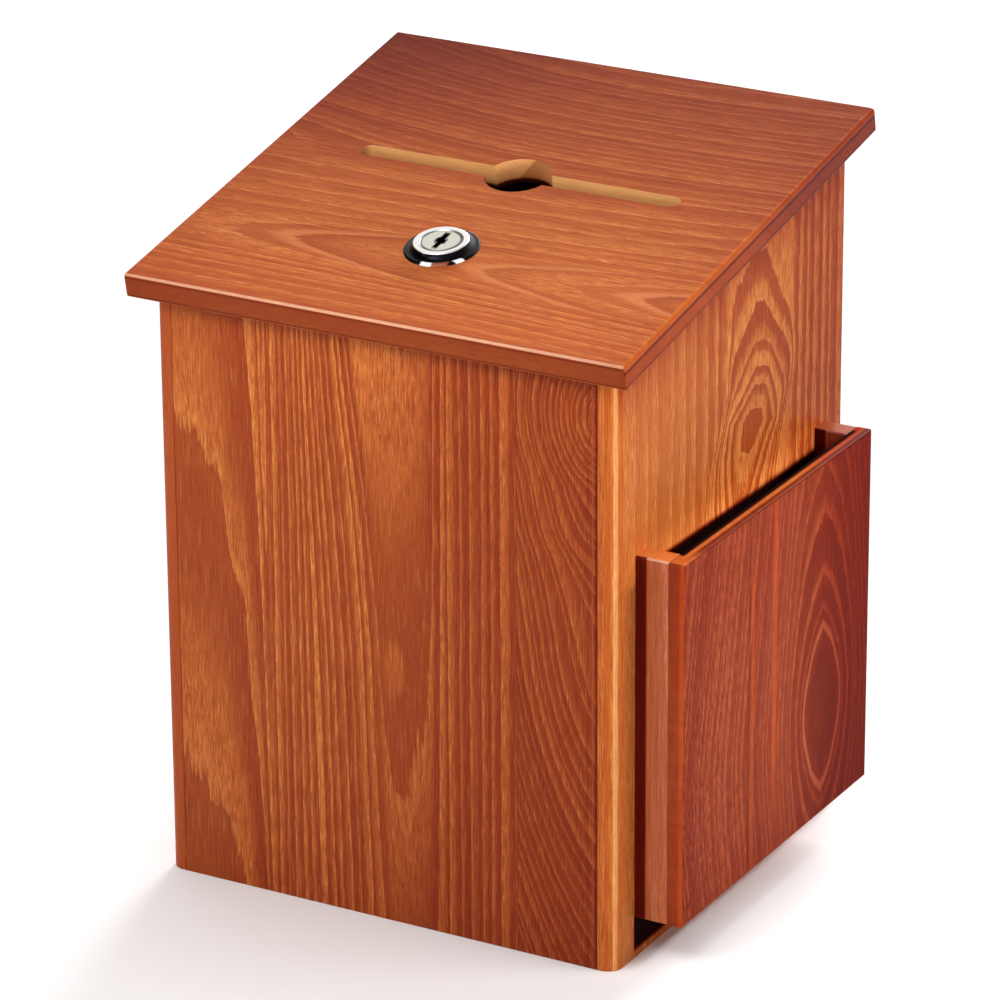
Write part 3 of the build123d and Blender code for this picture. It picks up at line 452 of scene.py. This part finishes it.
def side_face(g, col, x, y, z, u, v, w, fine, hair):
    nx, ny, nz = g.facing()
    # painted light: the panel is lighter close above the pocket, where the pocket's shade falls; its flat face darkens
    # toward the back, painted shade, and the rest is a little lighter
    painted_light_shade = g.curve(z, [(0, 0.0), (150, 0.0), (156, 1.2), (158, 1.15), (161.7, 0.82), (165.5, 0.46), (169.3, 0.24), (176, 0.10), (186, 0.0), (290, 0.0)])
    painted_light_shade = painted_light_shade * g.curve(y, [(-100, 0.0), (-86, 0.2), (-74, 0.8), (-38, 1.0), (10, 1.05), (57, 1.1), (72, 0.7), (84, 0.1), (100, 0.0)])
    painted_light_shade = painted_light_shade + g.curve(y, [(-100, 1.0), (-93, 0.92), (-86, 0.82), (-70, 0.76), (-40, 0.72), (0, 0.69), (40, 0.68), (100, 0.71)])
    painted_light_shade = g.step(nx, 0.9, 0.97) * (painted_light_shade - 1.08) + 1.08
    col = g.mix(1.0, col, g.vec(painted_light_shade, painted_light_shade, painted_light_shade), "MULTIPLY")
    # painted highlight: a pale line along the rounded front corner
    line = g.step(g.abs(nx), 0.66, 0.75) * g.step(g.abs(nx), 0.90, 0.82) * g.step(ny, -0.2, -0.4)
    return g.mix(line * (0.25 + fine * 0.5), col, (238, 176, 110))


def left_shade(g, x, y, z, u, v, w):
    nx, ny, nz = g.facing()
    return 0.94 - g.step(ny, -0.2, -0.7) * 0.08


def left_face(g, col, x, y, z, u, v, w, fine, hair):
    nx, ny, nz = g.facing()
    return g.mix(g.step(ny, -0.2, -0.7) * 0.85, col, g.mix(fine, (156, 70, 36), (178, 88, 50)))


def pocket_shade(g, x, y, z, u, v, w):
    nx, ny, nz = g.facing()
    # painted shade: darker toward the back and toward the bottom, as the light falls off
    a = g.curve(y, [(-81, 0.86), (-50, 0.93), (0, 0.95), (25, 0.84), (45, 0.68), (78, 0.56)]) * g.curve(z, [(15, 0.84), (50, 0.95), (100, 1.0), (165, 0.97)])
    upper = g.step(z, 95.0, 160.0) * g.step(y, 25.0, -60.0) * 0.12
    mottle = g.noise(g.vec(y / 3.2, z / 5.0, 8.0), 1.0, 2.0, 0.55)
    # the inner face, inside the pocket's gap, gets painted shade
    return a * (1.0 - upper) * (0.97 + (mottle - 0.5) * 0.34) * (1.0 - g.step(nx, -0.5, -0.9) * 0.9)


def pocket_face(g, col, x, y, z, u, v, w, fine, hair):
    nx, ny, nz = g.facing()
    # two thin places in the stain, and one dark line beside the first
    streak = g.step(g.abs(y + 23.6), 1.8, 0.6) * g.step(z, 152.0, 130.0) + g.step(g.abs(y + 5.4), 2.6, 1.0) * g.step(z, 20.0, 60.0)
    col = g.mix(streak * (0.2 + fine * 0.7), col, (206, 92, 36))
    col = g.mix(g.step(g.abs(y + 26.6), 0.9, 0.3) * 0.55, col, (112, 30, 12))
    # cross flecks toward the front
    fleck = g.noise(g.vec(y / 1.1 + z / 9.0, z / 4.6, 3.0), 1.0, 2.0, 0.55)
    col = g.mix(g.step(fleck, 0.48, 0.62) * g.curve(y, [(-80, 1.0), (-50, 0.75), (-15, 0.2), (5, 0.0), (80, 0.0)]) * g.step(z, 170.0, 60.0, 0.45, 1.0) * 0.5, col, (112, 34, 18))
    col = g.mix(g.step(fleck, 0.44, 0.34) * g.curve(y, [(-80, 0.6), (-50, 0.5), (-15, 0.2), (5, 0.0), (80, 0.0)]) * 0.32, col, (208, 120, 84))
    # two rings of the eye stand out, and its middle is dark
    d = pocket_eye(g, y + (fine - 0.5) * 0.8, z)
    right = g.step(y, 12.0, 20.0) * g.step(nx, 0.5, 0.8)
    col = g.mix(right * g.step(d, 18.5, 13.0) * 0.4, col, (118, 42, 26))
    col = g.mix(right * g.step(g.abs(d - 22.2), 2.8, 0.6) * (0.25 + fine * 0.75), col, (214, 132, 92))
    col = g.mix(right * g.step(g.abs(d - 44.5), 3.6, 0.8) * (0.05 + fine * 0.6), col, (210, 126, 86))
    col = g.mix(right * g.step(g.abs(d - 34.5), 4.5, 1.5) * 0.35, col, (128, 44, 26))
    # front edge, and the top edge with its inner arris in shadow
    col = g.mix(g.step(ny, -0.5, -0.8) * 0.9, col, g.mix(g.step(x, 116.4, 117.2), g.mix(fine, (148, 62, 34), (172, 82, 50)), (196, 90, 40)))
    top = g.step(nz, 0.3, 0.8)
    col = g.mix(top * 0.9, col, g.mix(fine, (196, 100, 42), (232, 146, 70)))
    col = g.mix(g.step(nz, 0.1, 0.3) * g.step(x, 115.9, 116.7) * g.step(y, -78.0, -62.0) * 0.85, col, (112, 36, 24))
    return g.mix(g.step(x, 115.0, 113.8) * g.step(z, 158.0, 161.0) * g.step(y, -74.0, -71.0) * g.step(y, 74.0, 71.0), col, (30, 8, 3))


def top_edge(g, col, x, y, z, u, v, w, fine, hair):
    nx, ny, nz = g.facing()
    return g.mix(g.step(nz, 0.3, 0.8) * 0.85, col, g.mix(fine, (198, 100, 40), (230, 140, 62)))


def strip_face(g, col, x, y, z, u, v, w, fine, hair):
    nx, ny, nz = g.facing()
    col = top_edge(g, col, x, y, z, u, v, w, fine, hair)
    col = g.mix(g.step(nz, 0.3, 0.8) * g.step(y, 0.0, 10.0) * 0.8, col, g.mix(fine, (136, 56, 30), (170, 80, 48)))
    # painted highlight along the strip's top front arris
    return g.mix(g.step(ny, -0.5, -0.8) * g.step(z, 163.2, 163.7) * 0.75, col, (238, 200, 180))


def strip_shade(g, x, y, z, u, v, w):
    nx, ny, nz = g.facing()
    # painted shadow of the box's corner on the strip's front face, and painted shade on the faces inside the pocket
    corner = g.step(x, 103.6, 102.6) * g.step(ny, -0.3, -0.6)
    inner = g.step(g.abs(ny), 0.6, 0.9) * g.step(y, -76.0, -73.0) * 0.25
    return 0.90 * (1.0 - corner * 0.78) * (1.0 - inner)


LID = dict(early=(214, 124, 60), late=(184, 92, 42), dash=(234, 158, 92), pore=(140, 60, 28), seed=23.0, spec=0.05, shade=lid_shade, face=lid_face, vary=lid_vary, wave=0.2, wobble=0.22, ragged=0.07)
FRONT = dict(early=(203, 112, 50), late=(153, 63, 25), dash=(228, 148, 76), pore=(126, 46, 18), seed=0.0, spec=0.10, shade=front_shade, face=front_face, vary=front_vary, middle=0.34, wave=0.25, wobble=0.22, ragged=0.05)
SIDE = dict(early=(217, 127, 61), late=(171, 72, 25), dash=(232, 158, 92), pore=(156, 66, 24), seed=11.0, early_part=0.47, spec=0.03, shade=side_shade, face=side_face, vary=side_vary, middle=0.52, wave=0.2, wobble=0.22, ragged=0.09)
POCKET = dict(early=(190, 94, 57), late=(152, 60, 34), dash=(208, 124, 84), pore=(112, 36, 19), seed=37.0, early_part=0.42, contrast=0.8, spec=0.01, rim=0.3,
              shade=pocket_shade, face=pocket_face, vary=pocket_vary, red=lambda g, x, y, z: g.curve(y, [(-82, 1.0), (10, 0.96), (40, 0.74), (80, 0.55)]),
              wave=0.22, wobble=0.2, ragged=0.08, streaks=0.5)
STRIP = dict(early=(206, 124, 82), late=(186, 100, 62), dash=(222, 152, 116), pore=(150, 70, 42), seed=71.0, rim=0.05, contrast=0.6, spec=0.05,
             shade=strip_shade, face=strip_face)

lv, lw = lid_axes()


def side_extra(g, col, rough, height, x, y, z, u, v, w, fine):
    # dull wood inside the pocket and under it
    dull = g.step(x, 97.0, 98.0) * g.step(z, 158.0, 155.0) * g.step(y, -82.0, -80.0)
    return col, rough + dull * 0.55, height


def pocket_extra(g, col, rough, height, x, y, z, u, v, w, fine):
    dull = g.step(x, 115.6, 114.4)
    nx, ny, nz = g.facing()
    # painted shade: the outer face darkens, more toward the back
    k = 1.0 - g.step(nx, 0.6, 0.9) * g.curve(y, [(-82, 0.15), (-50, 0.17), (0, 0.20), (40, 0.26), (80, 0.30)])
    return g.mix(1.0, col, g.vec(k, k, k), "MULTIPLY"), rough + dull * 0.55, height


def lid_extra(g, col, rough, height, x, y, z, u, v, w, fine):
    # the sawn walls of the slot and of the finger hole are bare
    nx, ny, nz = g.facing()
    up = g.abs(ny * -S + nz * C)
    wall = g.step(up, 0.75, 0.6)
    dv = u - SLOT_V
    inside = g.max(g.step(g.abs(x), 70.2, 69.9) * g.step(g.abs(dv), 4.8, 4.4), g.step(g.sqrt(x ** 2.0 + dv ** 2.0), 13.8, 13.4))
    bare = wall * inside
    # painted shade: the bare walls darken toward the lid's underside
    dusk = g.curve(w, [(-1, 0.03), (1.2, 0.04), (2.4, 0.62), (6, 0.9), (10, 1.0), (11, 1.0)])
    # painted shadow on the near side of the finger hole, and a painted shadow patch to the right of a slanting line on
    # its far side; the hole's walls as a whole are lighter
    hole = g.step(g.sqrt(x ** 2.0 + dv ** 2.0), 13.8, 13.4) * g.step(g.abs(dv), 4.0, 4.4)
    near_side = hole * g.step(dv, -3.6, -4.4)
    slant = x + w * -0.9
    patch = hole * g.step(dv, 4.0, 4.6) * g.step(slant, -9.0, -7.6) * g.step(slant, 12.0, -6.0, 0.25, 1.0)
    dusk = dusk * (1.0 - near_side * 0.97) * (1.0 - patch * 0.42) * (1.0 + hole * 0.22)
    # painted shade on the slot's left end wall
    end = g.step(x, -66.5, -69.5)
    dusk = dusk * (1.0 - end * 0.5)
    sawn = g.mix(1.0, raw(g, u, v, w, 5.0), g.vec(dusk, dusk ** 1.35, dusk ** 1.6), "MULTIPLY")
    sawn = g.mix(hole * 0.8, sawn, g.mix(1.0, sawn, (255, 228, 226), "MULTIPLY"))
    col = g.mix(bare, col, sawn)
    rough = g.math("ADD", rough, bare * 0.3)
    return col, rough, height


def assign(node, mat):
    ob = nodes[node]
    ob.data.materials.clear()
    ob.data.materials.append(mat)


X = lambda x, y, z: x
Y = lambda x, y, z: y
Z = lambda x, y, z: z

m_front = board("stain_front", X, Z, lambda x, y, z: y + HALF_D, front_rings, FRONT)
m_right = board("stain_right", Y, Z, lambda x, y, z: HALF_W - x, side_rings, SIDE, extra=side_extra)
m_left = board("stain_left", Y, Z, lambda x, y, z: HALF_W + x, plain_rings(-20.0, 4.2, 24.0, 0.008, 0.05), dict(SIDE, seed=51.0, shade=left_shade, face=left_face))
PLAIN = {k: v for k, v in FRONT.items() if k not in ("face", "vary")}
m_back = board("stain_back", X, Z, lambda x, y, z: HALF_D - y, plain_rings(18.0, 4.4, 26.0, -0.008, -0.04), dict(PLAIN, seed=61.0, shade=lambda g, x, y, z, u, v, w: g.curve(z, [(0, 0.88), (280, 0.98)])))
m_lid = board("stain_lid", lv, X, lw, lid_rings, LID, extra=lid_extra)
m_pocket = board("stain_pocket", Y, Z, lambda x, y, z: POCKET_X - x, pocket_rings, POCKET, extra=pocket_extra)
m_strip = board("stain_strip", X, Z, lambda x, y, z: y, plain_rings(108.0, 3.4, 10.0, 0.004, 0.02), STRIP)
m_strip_low = board("stain_strip_low", Z, Y, lambda x, y, z: x, plain_rings(20.0, 3.4, 10.0, 0.004, 0.02), dict(STRIP, seed=77.0, shade=lambda g, x, y, z, u, v, w: V(g, z.s) * 0.0 + 0.9))

assign("front_panel", m_front)
assign("right_side_panel", m_right)
assign("left_side_panel", m_left)
assign("back_panel", m_back)
assign("lid_panel", m_lid)
assign("pocket_panel", m_pocket)
for n in ("pocket_front_strip", "pocket_rear_strip"):
    assign(n, m_strip)
assign("pocket_bottom_strip", m_strip_low)


def bottom_wood():
    g = Graph("plain_bottom")
    x, y, z = g.place()
    g.set(color=raw(g, y, x, z, 9.0), rough=0.7, spec=0.3)
    return g.mat


assign("bottom_panel", bottom_wood())


# ---------------------------------------------------------------- metals
def metal(name, base, dark, rough, wear=0.1, scale=0.5, aniso=0.0):
    g = Graph(name)
    x, y, z = g.place()
    a = g.noise(g.vec(x / (4 * scale), y / (4 * scale), z / (4 * scale)), 1.0, 3.0, 0.6)
    b = g.noise(g.vec(x / (0.35 * scale), y / (0.35 * scale), z / (0.35 * scale)), 1.0, 2.0, 0.6)
    col = g.mix(a * 0.6 + b * 0.4, dark, base)
    g.set(color=col, metal=1.0, rough=rough + (a - 0.5) * wear + (b - 0.5) * wear * 0.5, normal=g.bump(b, 0.00001, 0.35))
    return g.mat


m_chrome = metal("chrome", (232, 232, 230), (205, 205, 204), 0.10, 0.06)
m_zinc = metal("zinc", (196, 198, 200), (150, 152, 156), 0.34, 0.2)
m_brass = metal("brass", (222, 184, 104), (176, 132, 60), 0.30, 0.2)
m_steel = metal("bright_steel", (205, 203, 198), (170, 168, 164), 0.28, 0.15)


def lock_head():
    """Polished head: a satin face, a painted dark reflection round it and a bright lip with painted glints."""
    g = Graph("lock_head")
    x, y, z = g.place()
    v, w = lv(x, y, z) - LOCK_V, lw(x, y, z) - LID_T
    r = g.sqrt(x ** 2.0 + v ** 2.0)
    turn = g.noise(g.vec(r / 0.10, 0.0, 0.0), 1.0, 2.0, 0.5)
    haze = g.noise(g.vec(x / 3.0, v / 3.0, w / 3.0), 1.0, 3.0, 0.6)
    face = g.step(w, 3.0, 3.25) * g.step(r, 10.9, 10.6)
    outside = g.step(w, -0.2, 0.3) * (1.0 - face)
    ring = g.step(r, 10.4, 10.7) * outside
    col = g.mix(haze, (214, 214, 212), (238, 238, 236))
    col = g.mix(face, col, g.mix(turn, (232, 230, 224), (252, 250, 246)))
    # turned groove between the head and the plug, with painted shade that makes it darker on one side
    groove = face * g.step(r, 8.75, 8.45)
    col = g.mix(groove * g.step(x - v * 0.4, -8.0, 6.0, 0.25, 0.85), col, (52, 50, 50))
    # painted reflection: the slope round the face is near black
    col = g.mix(ring, col, g.mix(haze, (14, 14, 17), (28, 28, 33)))
    # two painted glints on the lip, and a painted brown reflection of the wood between them
    lip = outside * g.step(r, 12.7, 13.2)
    painted_glint = lip * (g.step(g.abs(x - 0.9), 2.7, 1.6) * g.step(v, -11.5, -12.5) + g.step(g.abs(v + 7.6), 2.0, 1.1) * g.step(x, 9.0, 10.0))
    dull = lip * g.step(g.abs(x - 6.0), 3.4, 2.0) * g.step(v, -8.5, -9.5)
    col = g.mix(dull, col, (150, 78, 44))
    col = g.mix(painted_glint, col, (255, 252, 248))
    rough = 0.08 + face * 0.26 + haze * 0.06 + ring * (0.16 + g.step(x, 2.0, 8.0) * 0.45)
    g.set(color=col, metal=1.0 - g.clamp(painted_glint + dull), rough=rough, normal=g.bump(turn * face + haze * 0.2, 0.00001, 0.4))
    return g.mat


def plug_metal():
    g = Graph("plug_face")
    x, y, z = g.place()
    v, w = lv(x, y, z) - LOCK_V, lw(x, y, z) - LID_T
    a = g.noise(g.vec(x / 1.2, v / 1.2, w / 1.2), 1.0, 3.0, 0.6)
    b = g.noise(g.vec(x / 0.12, v / 0.12, w / 0.12), 1.0, 2.0, 0.6)
    r = g.sqrt(x ** 2.0 + v ** 2.0)
    rim = g.step(r, 6.9, 7.5)
    col = g.mix(a * 0.7 + b * 0.3, (196, 190, 176), (232, 228, 214))
    col = g.mix(rim * 0.75, col, (74, 72, 70))
    # painted shade in the keyway, spread a little over its edges
    half = g.curve(v, [(-7.5, 0.9), (-2.8, 1.1), (-1.9, 2.2), (1.2, 2.4), (2.2, 1.4), (7.5, 1.2)])
    mid = g.curve(v, [(-7.5, 0.4), (-2.8, 0.3), (0, 0.0), (2.2, -0.1), (7.5, -0.2)])
    edge = g.step(g.abs(x - mid) - half, 0.35, -0.15) * g.step(g.abs(v), 6.7, 6.1)
    col = g.mix(edge * (0.55 + a * 0.5), col, (66, 66, 68))
    # painted shade on the parts below the face
    col = g.mix(g.step(w, 3.15, 2.7), col, (60, 58, 54))
    g.set(color=col, metal=1.0, rough=0.36 + a * 0.1, normal=g.bump(b, 0.00001, 0.4))
    return g.mat


assign("lock_housing", lock_head())
assign("lock_plug", plug_metal())
for n in ("lock_nut", "lock_washer", "stop_washer", "cam_lock_washer", "cam_screw", "lock_cam", "strike_plate", "strike_screws", "pocket_screws",
          "corner_brads", "floor_brads"):
    assign(n, m_zinc)
for n in nodes:
    if "hinge" in n or n == "lock_wafers":
        assign(n, m_brass)

# ---------------------------------------------------------------- floor, camera, light
bpy.ops.mesh.primitive_plane_add(size=12.0, location=(0, 0, 0))
floor = bpy.context.object
floor.name = "floor"
gf = Graph("floor_paper")
fx, fy, fz = gf.place()
tint = gf.noise(gf.vec(fx / 300.0, fy / 300.0), 1.0, 2.0, 0.5)
gf.set(color=gf.mix(tint * 0.3, (250, 250, 250), (246, 246, 246)), rough=0.85, spec=0.2)
floor.data.materials.append(gf.mat)

F_PX, AZ, EL, ROLL, PX, PY, DIST = 5646.9, math.radians(29.336), math.radians(21.770), math.radians(-0.349), 169.92, 866.45, 2.2049
back = Vector((math.sin(AZ) * math.cos(EL), -math.cos(AZ) * math.cos(EL), math.sin(EL)))
right = Vector((math.cos(AZ), math.sin(AZ), 0.0))
up = back.cross(right)
r2 = math.cos(ROLL) * right + math.sin(ROLL) * up
u2 = -math.sin(ROLL) * right + math.cos(ROLL) * up
corner = Vector((-HALF_W / 1000, -HALF_D / 1000, 0.0))
eye = corner - r2 * ((PX - 500.0) * DIST / F_PX) - u2 * (-(PY - 500.0) * DIST / F_PX) + back * DIST
cam_data = bpy.data.cameras.new("camera")
cam_data.sensor_width = 36.0
cam_data.lens = F_PX * 36.0 / 1000.0
cam_data.clip_start, cam_data.clip_end = 0.05, 50.0
cam = bpy.data.objects.new("camera", cam_data)
bpy.context.scene.collection.objects.link(cam)
m = Matrix((r2, u2, back)).transposed().to_4x4()
m.translation = eye
cam.matrix_world = m
bpy.context.scene.camera = cam


def area(name, az, el, dist, size_x, size_y, power, colour=(1, 1, 1), aim=(0, 0, 0.13)):
    """A soft box; az is measured like the camera's, from the front towards the right."""
    a, e = math.radians(az), math.radians(el)
    d = Vector((math.sin(a) * math.cos(e), -math.cos(a) * math.cos(e), math.sin(e)))
    data = bpy.data.lights.new(name, "AREA")
    data.shape = "RECTANGLE"
    data.size, data.size_y = size_x, size_y
    data.energy = power
    data.color = colour
    ob = bpy.data.objects.new(name, data)
    bpy.context.scene.collection.objects.link(ob)
    ob.matrix_world = Matrix.Translation(Vector(aim) + d * dist) @ d.to_track_quat("Z", "Y").to_matrix().to_4x4()
    return ob


area("key_left", -40, 12, 0.85, 0.25, 0.35, 1.9, aim=(-0.03, -0.09, 0.17))
area("side_right", 70, 6, 1.0, 0.30, 0.26, 2.0, aim=(0.1, -0.05, 0.18))
# a near strip that reaches the side panel over the pocket; it gives no glare on the lid
area("side_high", 90, 29, 0.33, 0.22, 0.05, 0.85, aim=(0.1, 0.02, 0.165)).visible_glossy = False
area("top_front", 0, 44, 0.50, 0.40, 0.25, 2.3, aim=(0.02, -0.08, 0.24))
area("far_floor", 180, 32, 3.2, 3.0, 1.2, 330, aim=(0, 1.6, 0))

world = bpy.data.worlds.new("studio")
bpy.context.scene.world = world
world.use_nodes = True
wt = world.node_tree
bg = wt.nodes["Background"]
# the room is dark in front of the object and bright above and behind it
wc = wt.nodes.new("ShaderNodeTexCoord")
wd = wt.nodes.new("ShaderNodeVectorMath")
wd.operation = "DOT_PRODUCT"
wt.links.new(wc.outputs["Generated"], wd.inputs[0])
wd.inputs[1].default_value = Vector((-0.42, 0.62, 0.66)).normalized()
wr = wt.nodes.new("ShaderNodeMapRange")
wr.interpolation_type = "SMOOTHSTEP"
for k, v in (("From Min", 0.70), ("From Max", 0.97), ("To Min", 0.10), ("To Max", 1.0)):
    wr.inputs[k].default_value = v
wt.links.new(wd.outputs["Value"], wr.inputs["Value"])
wt.links.new(wr.outputs["Result"], bg.inputs[1])
bg.inputs[0].default_value = (1.0, 1.0, 1.0, 1)

vs = bpy.context.scene.view_settings
vs.view_transform = "Standard"
vs.look = "None"
vs.exposure = 0.0
vs.gamma = 1.0
